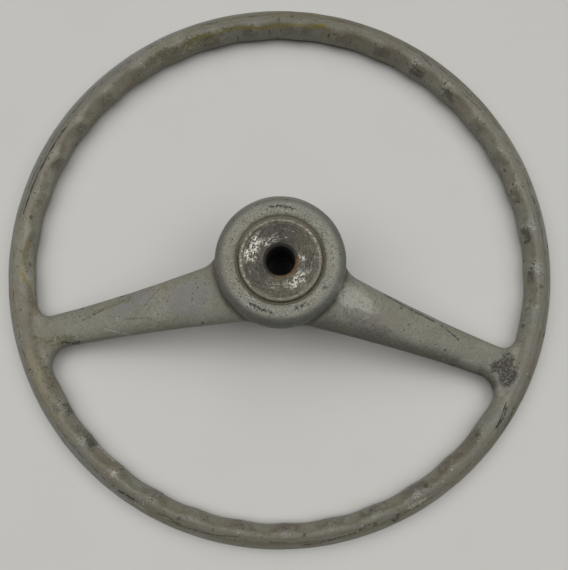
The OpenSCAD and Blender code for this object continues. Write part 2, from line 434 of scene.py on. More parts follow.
# Strokes of dirt and damage on the back of the wheel: colour, half width in mm, raggedness, strength, and one or more
# lines, each of points in mm from the wheel's axis. One point makes a spot, and "pits" is a strip with many pits.
STROKES = (
    ("ochre", 1.1, 1.5, 0.7, (
        (-81.3, 165.3), (-75.5, 171.0), (-68.3, 173.3), (-61.1, 175.6), (-54.1, 178.5), (-45.0, 181.5), (-34.2, 182.5),
        (-28.4, 182.5), (-22.9, 184.2), (-15.5, 185.7), (-5.5, 186.4), (7.5, 186.2), (19.1, 186.9),
    )),
    ("ochre", 1.7, 0.7, 0.85, ((13.0, 187.0), (18.8, 187.0))),
    ("ochre", 1.3, 0.9, 0.85, ((-20.0, 188.4),)),
    ("ochre", 1.0, 1.7, 0.6, ((-184.4, 11.1), (-187.3, 0.9), (-188.5, -8.7), (-183.6, -19.7))),
    ("ochre", 0.7, 0.9, 0.8, ((-170.0, -80.0), (-165.0, -91.0))),
    ("ochre", 1.2, 0.9, 0.9, ((-152.6, -112.0),)),
    ("ochre", 0.9, 0.9, 0.8, ((98.4, -44.3),)),
    ("olive", 0.6, 1.3, 0.8, ((-20.5, 192.3), (-10.0, 191.6), (0.0, 191.0))),
    ("ochre", 1.5, 1.2, 0.6, ((-188.0, -13.0), (-185.5, -18.0))),
    ("olive", 1.6, 1.4, 0.5, ((-182.3, -21.5), (-179.5, -32.0), (-175.9, -41.9))),
    ("olive", 1.9, 1.3, 0.6, ((-175.0, -58.6), (-161.1, -64.0), (-145.8, -57.5)), ((-130.0, -38.6), (-103.0, -28.2))),
    ("olive", 0.8, 1.4, 0.6, ((-92.0, -33.0), (-85.0, -24.0), (-77.0, -16.5))),
    ("olive", 2.8, 0.9, 0.7, ((-63.1, -182.5),)),
    ("tan", 3.6, 1.3, 0.3, ((-176.3, -64.6), (-173.8, -75.3), (-168.3, -87.9), (-163.2, -96.9))),
    ("pale", 0.35, 1.4, 0.5, ((-92.0, -171.9), (-83.1, -177.0))),
    ("pale", 1.6, 1.8, 0.3, ((104.2, -161.1), (114.6, -155.5))),
    ("pale", 0.3, 1.6, 0.5, ((-121.0, -50.0), (-100.0, -53.5), (-84.0, -56.0))),
    ("pale", 0.5, 1.5, 0.55, ((131.0, -60.0), (138.0, -63.2), (147.0, -64.5))),
    ("grime", 1.3, 1.9, 0.9, ((-153.6, -61.2), (-140.9, -60.4))),
    ("olive", 2.4, 1.9, 0.7, ((-171.0, -62.0), (-158.0, -59.0), (-146.0, -57.0))),
    ("grime", 0.5, 1.8, 0.7, ((-138.0, -44.6), (-123.0, -36.8))),
    ("grime", 0.6, 1.7, 0.5, ((-105.6, -42.6), (-90.6, -41.0))),
    ("grime", 0.5, 1.6, 0.9, ((73.0, -14.2), (92.0, -22.2), (111.0, -28.8))),
    ("grime", 0.55, 1.7, 0.9, ((116.0, -31.0), (130.0, -40.0))),
    ("grime", 1.1, 0.8, 0.95, ((119.9, -48.0),)),
    ("grime", 0.8, 1.9, 0.95, ((-9.2, 33.6), (-2.0, 35.0), (6.2, 33.6))),
    ("grime", 0.9, 2.3, 0.95, ((-17.5, -29.5), (-11.0, -32.8), (-3.4, -34.8))),
    ("grime", 0.8, 2.3, 0.95, ((12.3, -30.4), (19.0, -27.4))),
    ("pits", 2.2, 1.4, 0.5, ((3.0, -37.5), (12.0, -36.5))),
    ("pits", 3.2, 1.2, 0.7, ((-18.5, -28.5), (-11.0, -32.8), (-2.4, -34.8))),
    ("pits", 3.0, 1.2, 0.6, ((11.3, -30.4), (19.5, -27.0))),
    ("pits", 3.0, 1.2, 0.5, ((-10.2, 33.6), (-2.0, 35.0), (7.2, 33.6))),
    ("pits", 4.5, 1.2, 0.5, ((-172.0, -62.0), (-158.0, -60.0), (-142.0, -57.0))),
    ("pits", 4.5, 1.4, 0.3, ((-110.8, 149.4), (-82.6, 166.9), (-40.0, 182.0))),
    ("pits", 4.0, 1.4, 0.35, ((76.0, 168.0), (102.0, 152.0))),
    ("pits", 3.0, 1.4, 0.4, ((186.0, 2.0), (184.0, -22.0))),
    ("grime", 0.75, 1.5, 0.8, ((-12.5, 184.2),), ((-20.8, 182.4),), ((-60.0, 182.5),), ((-44.5, 177.7),),
     ((23.4, 182.5),)),
    ("grime", 0.9, 1.0, 0.95, ((-108.1, -160.5),)),
    ("grime", 1.0, 1.2, 0.95, ((-104.0, -163.8), (-93.5, -169.4))),
    ("grime", 0.7, 1.0, 0.8, ((-96.8, -157.3),)),
    ("grime", 0.4, 1.8, 0.75, (
        (-75.6, -177.7), (-67.6, -180.0), (-58.7, -185.9), (-47.8, -187.9), (-36.9, -190.3), (-16.1, -190.5),
    )),
    ("grime", 0.42, 1.8, 0.85, ((30.5, -193.7), (42.5, -190.7), (58.5, -184.9), (64.8, -182.7), (76.4, -175.0))),
    ("grime", 1.9, 1.8, 0.8, ((93.6, -172.0), (97.5, -167.9))),
    ("grime", 0.5, 1.7, 0.8, ((125.6, -57.3), (138.0, -61.5), (151.4, -63.0))),
    ("pale", 0.45, 1.5, 0.7, ((140.0, -63.4), (150.0, -65.6))),
    ("grime", 0.5, 2.0, 0.8, ((93.3, 169.3), (100.2, 162.7)), ((124.3, 144.0), (139.0, 131.5))),
    ("grime", 0.5, 2.0, 0.7, ((180.1, 70.2), (187.0, 56.1))),
    ("pits", 2.4, 1.2, 0.6, ((-30.9, -181.5), (-9.2, -182.6)), ((12.5, -181.7), (24.1, -180.9))),
    ("pits", 3.0, 1.2, 0.6, ((106.1, -45.0), (121.4, -48.2))),
    ("grime", 0.85, 0.9, 0.95, ((120.2, -48.3),)),
    ("grime", 0.9, 1.6, 0.7, ((91.1, -32.3),)),
    ("grime", 0.45, 2.0, 0.6, ((-88.6, -41.0), (-78.0, -44.5))),
    ("grime", 0.8, 1.4, 0.95, ((169.7, -85.9), (167.2, -93.2), (163.3, -100.0))),
    ("olive", 1.6, 1.6, 0.6, ((176.5, -82.6), (171.9, -96.0))),
    ("grime", 0.4, 2.0, 0.7, ((176.5, -82.6), (171.9, -96.0), (167.5, -104.0))),
    ("film", 3.6, 1.8, 0.6, ((148.7, -107.9), (143.5, -116.3))),
    ("olive", 2.2, 2.2, 0.6, ((-176.3, -64.6), (-168.6, -76.3), (-158.5, -94.4))),
    ("pits", 3.4, 1.2, 0.45, ((-172.3, -71.5), (-165.4, -85.5), (-157.8, -97.9), (-152.4, -108.3))),
    ("pale", 2.6, 2.5, 0.45, ((-151.8, -105.5), (-148.8, -110.3))),
    ("grime", 1.9, 2.5, 0.75, ((-148.6, -106.2), (-145.4, -110.8))),
    ("grime", 1.4, 2.5, 0.7, ((-154.9, -106.6), (-152.6, -111.2))),
    ("pale", 2.4, 2.5, 0.45, ((-131.6, -129.9),)),
    ("grime", 2.1, 2.3, 0.75, ((-130.2, -127.0), (-126.8, -133.1))),
    ("pale", 2.2, 2.5, 0.45, ((-108.5, -152.4),)),
    ("pale", 0.4, 1.6, 0.7, ((-124.0, -134.4), (-118.3, -139.4), (-111.5, -144.5))),
    ("olive", 3.0, 2.0, 0.5, ((-110.8, 149.4), (-100.4, 157.3), (-82.6, 166.9), (-58.7, 176.1))),
)

# Long cracks on the back of the rim: first and last angle in degrees, and radius in mm at each
CRACKS = (
    (149.5, 166.5, 190.4, 191.4),
    (166.5, 171.0, 191.6, 191.8),
    (328.0, 334.0, 191.6, 188.2),
)

# Shares of the rim's length: first and last angle in degrees, and how strong the wear, dirt and painted shade are
# there
BACK_FILM_AND_SHADE = ((-20, 22, 1.3), (22, 50, 0.7), (50, 112, 1.1), (112, 128, 0.2), (128, 170, 1.2), (202, 235, 1.2),
             (235, 310, 1.7), (310, 335, 1.0), (335, 380, 1.3))
OUTER_FILM = ((38, 98, 1.3), (210, 236, 0.5), (245, 305, 0.5), (322, 342, 1.5), (342, 352, 0.4))
OUTER_COOL = ((0, 26, 0.35), (98, 112, 0.4), (112, 168, 1.25), (168, 196, 0.45), (196, 238, 0.9))
INNER_FILM = ((60, 100, 0.12), (120, 142, 0.2))
INNER_RUB = ((110, 190, 0.9), (14, 60, 0.5))
TAN_BACK = ((168, 200, 0.5), (202, 222, 0.7))
EDGE_DIRT = ((-10, 70, 0.35), (70, 122, 0.8), (122, 172, 0.35), (172, 190, 0.8), (225, 330, 0.4), (340, 370, 0.35))
WORN_CRESTS = ((5, 64, 0.5), (344, 380, 0.4), (-20, 5, 0.4), (276, 312, 0.3))
RUBBED_CRESTS = ((-20, 64, 0.3), (212, 250, 0.6), (276, 312, 0.3), (340, 380, 0.3))


class Places:
    """Where a point of the moulding lies on the wheel, as values and masks."""

    def __init__(self, g, wheel):
        self.g = g
        self.angle, self.radius, self.height = g.group(round_coordinates(), {"Position": g.place}).values()
        _, self.normal_y, normal_up = g.parts(g.add("NewGeometry").outputs["Normal"])
        self.back_side = g.step(normal_up, -0.25, 0.15)
        self.x = g.parts(g.place)[0]
        inward = wheel.rim_radius - self.radius
        upward = self.height - wheel.tube_radius
        # Angle round the rim's section: 0 on the inner side, 90 on the back
        self.around = g.math("DEGREES", g.math("ARCTAN2", upward, inward))
        self.on_rim = g.step(self.radius, wheel.rim_radius - 15 * MM, wheel.rim_radius - 10 * MM)
        off_hub = g.step(self.radius, wheel.hub_radius + 1 * MM, wheel.hub_radius + 5 * MM)
        self.on_spoke = off_hub * (1.0 - self.on_rim)
        # How far the surface lies inside the round rim
        self.depth = (wheel.tube_radius - g.measure("LENGTH", g.combine(inward, upward, 0.0))) * self.on_rim
        self.find_crests()

    def find_crests(self):
        """Distance along the rim from the nearest crest between two recesses, and the share of the rows there."""
        g = self.g
        signed, rows = [], []
        for first, pitch, count, lowest in GRIP_ROWS:
            turned = g.math("FLOORED_MODULO", self.angle - lowest, 360.0) + lowest
            step = (turned - first) / pitch
            row = g.window(step, 0.0, count, 0.12)
            arc_length = math.radians(pitch) * 186 * MM
            signed.append(g.math("WRAP", step, 0.5, -0.5) * row * arc_length)
            rows.append(row)
        self.from_crest = signed[0] + signed[1]
        self.row = g.most(*rows)

    def band(self, low, high, soft):
        """A band along the rim between two angles round its section."""
        return self.g.window(self.around, low, high, soft) * self.on_rim

    def spans(self, table, soft):
        return self.g.spans(self.angle, table, soft)


def paint_coat(g, wheel, at):
    """The paint itself: grey that drifts between green, brown and blue, with fine grain."""
    slow = g.noise(42, 3.0, 0.55)
    at.cloud = g.noise(13, 5.0, 0.6, 0.4)
    at.fine = g.noise(2.2, 6.0, 0.65)
    at.grain = g.noise(1.3, 2.0, 0.7)
    browned = g.step(slow, 0.4, 0.62) * (1.0 + at.on_spoke * -0.6)
    coat = Coat(g, g.mix(browned, wheel.paint, wheel.paint_brown))
    coat.lay(wheel.paint_blue, g.step(at.cloud, 0.5, 0.7) * (0.45 + at.on_spoke * -0.25))
    coat.shade(
        g.step(at.fine, 0.25, 0.75, 0.86, 1.13)
        + g.step(at.cloud, 0.3, 0.7, -0.06, 0.06)
        + g.step(at.grain, 0.28, 0.72, -0.13, 0.13)
    )
    return coat


def rim_dirt(g, wheel, at, coat):
    """Films and lines of dirt that follow the rim and its finger recesses, and painted shade along its back."""
    # Lines that follow the rim and wander a little across it
    wander = g.noise(26, 3.0, 0.6) * 9.0
    streak = g.line_noise(at.around / 10.0 + wander, 4.0, 0.6)
    patchy = g.step(g.noise(9, 5.0, 0.65), 0.32, 0.66)

    # A brown film along the back of the rim, which also paints the shade there
    back = at.band(80, 124, 13)
    coat.lay(wheel.film, back * at.spans(BACK_FILM_AND_SHADE, 6) * g.step(streak, 0.3, 0.6, 0.65, 1.0) * 0.62)
    outer = at.band(116, 190, 12)
    coat.lay(wheel.film, outer * at.spans(OUTER_FILM, 6) * g.step(patchy, 0, 1, 0.5, 1.0) * 0.6)
    coat.lay(wheel.cool, outer * at.spans(OUTER_COOL, 6) * g.step(patchy, 0, 1, 0.3, 0.6))
    tanned = at.band(60, 124, 13) * at.spans(TAN_BACK, 4) * g.step(patchy, 0, 1, 0.4, 0.9)
    coat.lay(g.mix(0.65, wheel.tan, wheel.olive), tanned)
    tawny = at.band(84, 150, 14) * g.window(at.angle, 79, 115, 4)
    coat.lay(wheel.olive, tawny * g.step(streak, 0.35, 0.6, 0.15, 0.55))

    # Rubbed pale on the inner back, and brown film on the floors of the recesses
    inner = at.band(8, 78, 12)
    coat.lay(g.mix(0.55, wheel.tan, wheel.pale), inner * at.spans(INNER_RUB, 6) * g.step(patchy, 0, 1, 0.25, 0.6))
    coat.lay(wheel.film, inner * at.spans(INNER_FILM, 6) * g.step(patchy, 0, 1, 0.6, 1.0))
    coat.lay(wheel.blotch, g.step(g.noise(8, 5.0, 0.65), 0.5, 0.56) * at.on_rim * 0.28)
    floor = g.mm_step(at.depth, 0.35, 1.3)
    at.recess = floor
    coat.lay(g.mix(0.4, wheel.paint_brown, wheel.olive), floor * g.step(at.cloud, 0.35, 0.65, 0.05, 0.3))
    coat.lay(wheel.film, g.step(streak, 0.52, 0.7) * at.on_rim * 0.22)

    # Painted shade on the rim's crown, stronger along the bottom of the wheel, and painted light on its inner side
    crown = g.window(at.around, 52, 102, 15) * (0.07 + g.window(at.angle, 225, 330, 10) * 0.06)
    painted_inner_light = g.window(at.around, -45, 38, 18) * 0.13
    coat.shade(1.0 + at.on_rim * (painted_inner_light - crown))

    # A worn pale line on the recess's edge and dirt beside it
    on_back = g.window(at.around, 36, 84, 8)
    coat.lay(wheel.tan, g.mm_window(at.depth, 0.25, 0.75, 0.18) * on_back * g.step(at.fine, 0.4, 0.62) * 0.4)
    beside = g.mm_window(at.depth, 0.45, 1.1, 0.2) * on_back
    dirt = beside * at.spans(EDGE_DIRT, 4) * g.step(streak, 0.42, 0.6, 0.1, 0.75)
    coat.lay(g.mix(0.45, wheel.olive, wheel.ochre), dirt)


def hub_wear(g, wheel, at, coat):
    """The pitted ring on the hub's back, its shoulder darkened with painted shade, and grime with painted shade in the
    groove and where the spokes run in.
    """
    near_back = g.step(at.height, wheel.hub_back - 6 * MM, wheel.hub_back - 1 * MM)
    groove = wheel.groove_radius
    ring = g.window(at.radius, groove - 1 * MM, groove + 7.5 * MM, 1.6 * MM) * near_back
    coat.lay(srgb(134, 132, 120), ring * g.step(at.cloud, 0.32, 0.6, 0.05, 0.25))
    rough = g.noise(1.1, 3.0, 0.75)
    coat.shade(1.0 + ring * g.step(rough, 0.3, 0.7, -0.3, 0.3))
    by_groove = near_back * g.mm_window(at.radius, 28.0, 30.6, 1.2)
    dirty_side = g.window(at.angle, 140, 262, 20) + g.window(at.angle, 20, 62, 12)
    many = g.step(at.cloud, 0.35, 0.65, 0.12, 0.5) + by_groove * dirty_side * 0.7
    pits = g.dots(1.5, ring * many, 0.13)
    coat.lay(wheel.pale, g.dots(1.5, ring * 0.4, 0.37) * 0.5)
    coat.lay(wheel.grime, pits * 0.75)
    coat.lay(srgb(84, 78, 64), by_groove * g.step(rough, 0.35, 0.6, 0.5, 0.2))
    at.pitted_ring = pits * ring

    # The shoulder: a cooler tint, and painted shade that is strongest along the bottom and weakest along the top
    on_hub = g.step(at.radius, wheel.hub_radius + 2 * MM, wheel.hub_radius + 0.5 * MM)
    shoulder = g.mm_step(at.radius, 36.5, 39.5) * on_hub
    bottom = g.window(at.angle, 215, 325, 28)
    top = g.window(at.angle, 66, 132, 15) * g.mm_step(at.radius, 39.5, 41.5)
    painted_shoulder_shade = shoulder * (0.3 + bottom * 0.15 + g.step(at.cloud, 0.4, 0.65) * 0.08 + top * -0.28)
    coat.lay(wheel.paint_blue, shoulder * 0.45)
    coat.shade(1.0 - painted_shoulder_shade)

    # Grime with painted shade deep in the groove round the boss
    in_groove = g.step(at.radius, groove + 0.6 * MM, groove - 0.2 * MM)
    in_groove *= g.step(at.height, wheel.hub_back - 8 * MM, wheel.hub_back - 6 * MM)
    coat.lay(wheel.grime, in_groove * 0.8)
    # Grime with painted shade in the crease at the foot of the hub's wall
    crease = g.mm_window(at.radius, 42.4, 46.2, 1.2) * g.mm_step(at.height, 62, 56)
    crease *= g.step(g.noise(6, 4.0), 0.3, 0.6, 0.35, 0.85)
    coat.lay(g.mix(0.5, wheel.grime, wheel.olive), crease * 0.8)


def spoke_wear(g, wheel, at, coat):
    """Rubbed, scuffed and discoloured areas of the spokes and of the rim beside them, and painted shade on the spokes'
    lower sides.
    """
    right_rub = g.oval((52, -21), (14, 8), -25)
    right_scuff = g.oval((60, -34), (18, 6), -20, 0.15, 1.4)
    left_rub = g.oval((-82, -31), (11, 12), 20)
    left_cool = g.most(g.oval((-60, -27), (13, 11), 20, 0.15, 2.2), g.oval((-100, -30), (17, 6), 25, 0.15, 2.2))
    rim_rub = g.oval((186, 15), (5, 11), 0)
    back = at.back_side
    coat.lay(srgb(112, 109, 107), left_cool * back * 0.6)
    rubs = g.most(right_rub, left_rub * 0.15, rim_rub * 0.2)
    coat.lay(wheel.pale, rubs * back * g.step(g.noise(0.75, 3.0, 0.8), 0.42, 0.6, 0.25, 0.85))
    scuffed = right_scuff * back * g.step(g.noise(3, 5.0, 0.7), 0.36, 0.46)
    coat.lay(wheel.scuff, scuffed * 0.65)
    specks = g.dots(1.4, g.most(right_scuff, right_rub, left_rub) * 0.4, 0.29)
    coat.lay(wheel.grime, specks * back * 0.8)
    peeled = g.oval((139.8, -56.6), (8.5, 3.6), -14, 0.12, 0.9)
    coat.lay(srgb(148, 145, 134), peeled * back * 0.45)
    # Painted shade on the lower sides of the spokes, strongest on the right spoke
    painted_low_shade = at.on_spoke * g.step(at.normal_y, -0.05, -0.45) * g.step(at.x, 0.0, 0.02, 0.1, 0.5)
    coat.shade(1.0 - painted_low_shade)

    # Dark patch where the right spoke meets the rim, pitted through to the ground
    patch = g.most(
        g.oval((169.0, -59.0), (12.5, 6.8), -84, 0.2, 1.5),
        g.oval((161.5, -56.5), (6.5, 4.2), 10, 0.2, 1.7),
    )
    at.pitted = patch * g.step(g.noise(1.7, 5.0, 0.7), 0.38, 0.54) * back
    coat.lay(wheel.patch, patch * back * 0.6)
    coat.lay(wheel.grime, at.pitted * 0.8)
    lit = g.dots(1.7, patch * 0.5, 0.43) * back
    coat.lay(srgb(142, 138, 130), lit * 0.8)


def crest_wear(g, wheel, at, coat):
    """Clusters of flecks on the crests between the recesses, and painted shade below each, with pits in it."""
    here = at.row * at.on_rim * at.back_side * g.mm_window(at.radius, 182.5, 189.5, 1.5)
    away = g.math("ABSOLUTE", at.from_crest)
    strength = g.step(g.noise(55, 2.0), 0.35, 0.62, 0.35, 1.0) * (0.6 + at.spans(WORN_CRESTS, 5))
    cluster = here * g.mm_step(away, 5.5, 2.0) * strength
    rubbed = cluster * (0.3 + at.spans(RUBBED_CRESTS, 5))
    pale = g.most(g.dots(2.1, rubbed), rubbed * g.step(at.grain, 0.52, 0.6))
    coat.lay(wheel.pale, pale * 0.6)
    coat.lay(wheel.grime, g.dots(2.2, cluster * 0.6, 0.21) * 0.85)

    # The painted shade lies towards the bottom of the wheel in the upper row, and on both sides in the lower row
    downhill = at.from_crest * g.math("SIGN", at.x) * -1.0
    lower_row = g.window(at.angle, 212, 328, 2)
    along = g.value("Mix", {0: lower_row, 2: downhill, 3: away}, data_type="FLOAT")
    crest_shade = at.row * at.on_rim * strength * g.mm_window(along, -1, 11, 1.6)
    crest_shade *= g.window(at.around, 4, 56, 10)
    crest_shade *= g.step(g.noise(4.6, 5.0, 0.7), 0.4, 0.48)
    coat.lay(g.mix(0.3, wheel.crest_shade, wheel.grime), crest_shade * 0.75)
    coat.lay(g.shaded(wheel.grime, 0.8), g.dots(1.8, crest_shade * 0.45, 0.53) * 0.85)


def marks(g, wheel, at, coat):
    """The single strokes, spots and cracks."""
    place = g.vector_math("MULTIPLY", g.place, (1.0, 1.0, 0.0))
    wobble = g.centred_noise(1.7, 4.0, 0.65)
    zones = []
    for kind, half_width, ragged, strength, *lines in STROKES:
        for points in lines:
            wobbles = wobble * (4.0 * ragged)
            pieces = [
                g.group(line_mark(), {
                    "Place": place,
                    "Start": (start[0] * MM, start[1] * MM, 0.0),
                    "End": (end[0] * MM, end[1] * MM, 0.0),
                    "Half width": half_width * MM,
                    "Wobble": wobbles,
                })["Mask"]
                for start, end in zip(points, points[1:] or points)
            ]
            mask = g.most(*pieces) * at.back_side * strength
            if kind == "pits":
                zones.append(mask)
            else:
                coat.lay(getattr(wheel, kind), mask)
    at.pitted_strips = g.most(*zones)

    wander = g.centred_noise(9, 4.0, 0.6) * (1.6 * MM)
    width = g.step(g.noise(3, 2.0), 0.35, 0.6, 0.2 * MM, 0.5 * MM)
    cracks = []
    for first, last, start, end in CRACKS:
        slope = (end - start) / (last - first)
        line = g.math("MULTIPLY_ADD", at.angle, slope * MM, (start - slope * first) * MM)
        offset = g.math("ABSOLUTE", at.radius + wander - line)
        cracks.append(g.window(at.angle, first, last, 0.5) * g.step(offset / width, 1.3, 0.6))
    on_back = at.band(50, 140, 10)
    at.cracks = g.most(*cracks) * on_back

    # The thin line of the mould's joint, broken and full of dirt
    drift = g.centred_noise(30, 3.0, 0.5) * (4 * MM)
    offset = g.math("ABSOLUTE", at.radius + drift - 193.6 * MM)
    broken = g.step(g.noise(11, 3.0, 0.6), 0.5, 0.6)
    joint = g.step(offset / width, 1.2, 0.4) * broken * on_back * 0.6
    coat.lay(g.shaded(wheel.grime, 0.5), g.most(at.cracks * 0.97, joint))


def moulding_paint(wheel):
    """Old greenish grey paint with dirt, pits, cracks and rubbed crests, and painted shade and light in places."""
    g = Surface("Worn paint")
    at = Places(g, wheel)
    coat = paint_coat(g, wheel, at)
    for wear in (rim_dirt, hub_wear, spoke_wear, crest_wear, marks):
        wear(g, wheel, at, coat)

    # Pits and chalky flecks all over
    pits = g.dots(1.6, g.step(at.cloud, 0.42, 0.7, 0.05, 0.2) + at.pitted_strips)
    specks = g.most(pits, g.dots(5.0, 0.05) * 0.8)
    coat.lay(wheel.grime, specks * 0.7)
    coat.lay(wheel.pale, g.dots(1.4, g.step(at.cloud, 0.5, 0.35, 0.01, 0.12), 0.31) * 0.5)

    rough = g.step(at.fine, 0.3, 0.7, 0.44, 0.62) + g.most(specks, at.cracks, at.pitted) * 0.2
    relief = g.centred_noise(1.1, 4.0, 0.6) * (0.12 * MM)
    waves = g.centred_noise(7, 3.0, 0.5) * (0.5 * MM)
    holes = g.most(specks, at.cracks * 1.6, at.pitted * 0.8, at.pitted_ring * 0.5)
    return g.finish(
        {"Base Color": coat.colour, "Roughness": rough - at.recess * 0.06, "Specular IOR Level": 0.4},
        relief + waves + holes * (-0.18 * MM),
    )


# The dark insides of the cap and the bore, which no light reaches
DEEP_SHADE = srgb(16, 15, 14)


def cap_paint(wheel):
    """The same paint, plainer, on the hidden cap, with painted shade on its inner side."""
    g = Surface("Cap paint")
    slow = g.noise(22, 4.0, 0.55)
    fine = g.noise(2.4, 6.0, 0.65)
    coat = Coat(g, g.mix(g.step(slow, 0.4, 0.65), wheel.paint, wheel.paint_brown))
    coat.shade(g.step(fine, 0.25, 0.75, 0.9, 1.1))
    pits = g.dots(2.0, 0.12)
    coat.lay(wheel.grime, pits * 0.6)
    # Painted shade on the inner faces of the cap
    painted_inside_shade = g.step(g.parts(g.add("NewGeometry").outputs["Normal"])[2], 0.1, 0.5)
    coat.lay(DEEP_SHADE, painted_inside_shade * 0.95)
    return g.finish(
        {"Base Color": coat.colour, "Roughness": g.step(fine, 0.3, 0.7, 0.45, 0.62), "Specular IOR Level": 0.4},
        g.centred_noise(1.4, 4.0, 0.6) * (0.1 * MM) - pits * (0.12 * MM),
    )


class BossMetal:
    """Turned steel under an old oil film, scratched bright in places, with painted highlights, glints and shade, and
    rusty at the bore.
    """

    def __init__(self, boss, wheel):
        self.boss, self.wheel = boss, wheel
        g = self.g = Surface("Old turned steel")
        self.angle, self.radius, self.height = g.group(round_coordinates(), {"Position": g.place}).values()
        self.cloud = g.noise(6, 5.0, 0.6)
        self.fine = g.noise(1.3, 5.0, 0.75)
        self.chipped = g.noise(1.6, 5.0, 0.75)
        self.ragged = self.radius + g.centred_noise(5, 5.0, 0.7) * (9 * MM)
        # Scratches that run round the bore
        self.swept = g.noise(
            1 / MM, 4.0, 0.7, vector=g.combine(self.angle / 14.0, self.radius / (1.1 * MM), 0.0)
        )
        self.lip = g.mm_step(self.radius, 23.6, 24.4)
        self.coat = Coat(g, g.mix(g.step(self.cloud, 0.4, 0.65, 0.25, 0.8), boss.dull, boss.soot))

    def sector(self, low, high, soft, inner, outer, edge=1.4):
        """A part of the dish between two angles and two radii in mm, with ragged edges."""
        g = self.g
        return g.window(self.angle, low, high, soft) * g.mm_window(self.ragged, inner, outer, edge)

    def dish(self):
        """The dish: dark oil with painted shade at the top and the lower left, and painted highlights on the left and
        below the bore.
        """
        g, boss, coat, sector = self.g, self.boss, self.coat, self.sector
        fine, swept = self.fine, self.swept
        dish = g.mm_window(self.radius, 11.3, 24.0, 0.5)
        # Dark oil film with painted shade on the upper and lower left of the dish
        dark = g.most(sector(28, 128, 14, 10, 26), sector(190, 262, 14, 10, 25) * 0.85)
        coat.lay(boss.soot, dark * dish * g.step(fine, 0.3, 0.65, 0.92, 0.5))
        oily = dish * g.most(g.window(self.angle, 235, 330, 20), g.window(self.angle, 10, 60, 15)) * 0.35
        coat.lay(self.wheel.olive, oily)

        # Painted highlights of the turned face: a bright crescent on the left that reaches over the bore, and streaks
        # below and to the right of the bore
        crescent = g.most(sector(138, 188, 9, 16, 24), sector(104, 142, 12, 13, 16.5) * 0.75)
        below = g.most(sector(290, 340, 12, 13.5, 20), sector(0, 22, 8, 11.5, 16) * 0.8)
        streaks = sector(245, 300, 14, 14.5, 19) * 0.3
        crumbs = g.step(fine + (swept - 0.5) * 1.3, 0.47, 0.56)
        self.bright = dish * g.most(crescent, below * 0.85, streaks) * crumbs
        coat.lay(boss.steel, self.bright * 0.95)
        coat.lay(boss.steel, dish * g.step(swept, 0.56, 0.66) * g.step(fine, 0.48, 0.6) * 0.5)
        coat.shade(g.step(fine, 0.3, 0.7, 0.45, 1.2) + g.step(swept, 0.3, 0.7, -0.22, 0.2))
        self.dirt = dish * g.dots(1.9, g.step(self.cloud, 0.35, 0.6, 0.35, 0.8))
        coat.lay(g.shaded(boss.soot, 0.6), self.dirt * 0.8)

    def rim(self):
        """The lip, which carries paint, rubbed through on its crown with painted glints and chipped at its foot, and
        the crust with painted shade.
        """
        g, boss, wheel, coat = self.g, self.boss, self.wheel, self.coat
        cloud, chipped = self.cloud, self.chipped
        mottled = g.step(cloud, 0.3, 0.65, 0.86, 0.58) + g.step(chipped, 0.3, 0.7, -0.32, 0.32)
        paint = g.mix(0.45, g.shaded(wheel.paint, mottled), g.shaded(wheel.tan, 0.8))
        coat.lay(paint, self.lip * 0.85)
        # Painted glints on the crown, strongest to the right and to the left, over a little rubbed-through steel
        crown = g.mm_window(self.radius, 24.6, 26.6, 0.7) * g.step(chipped, 0.5, 0.6)
        sides = g.window(self.angle, 0, 75, 20) * 0.4, g.window(self.angle, 140, 215, 20) * 0.4
        self.crown = crown * (0.25 + sides[0] + sides[1])
        coat.lay(boss.steel, self.crown)
        coat.lay(boss.soot, g.mm_window(self.ragged, 23.2, 24.3, 0.5) * g.step(cloud, 0.4, 0.55) * 0.7)
        crumbling = self.radius + (chipped - 0.5) * (3 * MM)
        coat.lay(g.shaded(wheel.paint_brown, 0.9), g.mm_step(crumbling, 27.4, 28.4))
        # Dark crust in the groove with painted shade, fainter along the upper side
        dark, black = g.mix(0.35, wheel.olive, boss.soot), g.shaded(boss.soot, 0.55)
        upper = g.window(self.angle, 35, 165, 20)
        crust = g.mm_window(crumbling, 26.9, 28.5, 0.5) * (0.95 + upper * -0.9)
        coat.lay(g.mix(g.step(chipped, 0.4, 0.6), dark, black), crust)

    def mouth(self):
        """The mouth of the bore: painted shade on its upper side, rusty below and to the right, and painted black
        shade inside.
        """
        g, boss, coat = self.g, self.boss, self.coat
        mouth = g.mm_window(self.radius, 9.3, 11.7, 0.4)
        # Painted shade on the upper side of the chamfer
        coat.lay(g.shaded(boss.soot, 0.85), mouth * g.window(self.angle, 30, 245, 22) * 0.75)
        turn = g.most(g.step(self.angle, 250, 275), g.step(self.angle, 24, 4))
        self.rusty = g.mm_window(self.ragged, 9.0, 11.6, 0.8) * turn * g.step(self.chipped, 0.42, 0.56, 0.3, 1.0)
        coat.lay(boss.rust, self.rusty * 0.85)
        # Painted black shade down the bore
        self.painted_bore_shade = g.step(self.height, boss.back - 3.6 * MM, boss.back - 5.4 * MM)
        coat.lay(DEEP_SHADE, self.painted_bore_shade * 0.97)

    def material(self):
        g = self.g
        self.dish()
        self.rim()
        self.mouth()
        metallic = 0.1 + g.most(self.bright, self.crown) * 0.5
        rings = g.line_noise(self.radius / (0.8 * MM), 3.0, 0.7)
        relief = (
            (rings - 0.5) * (0.06 * MM)
            + (self.fine - 0.5) * (0.32 * MM)
            + (self.swept - 0.5) * (0.22 * MM)
            + (self.chipped - 0.5) * self.lip * (0.4 * MM)
            + self.dirt * (-0.15 * MM)
        )
        return g.finish({
            "Base Color": self.coat.colour,
            "Metallic": metallic * (1.0 - g.most(self.rusty, self.painted_bore_shade)),
            "Roughness": g.step(self.fine, 0.3, 0.7, 0.42, 0.62) + self.bright * -0.1 + self.painted_bore_shade * 0.3,
        }, relief)


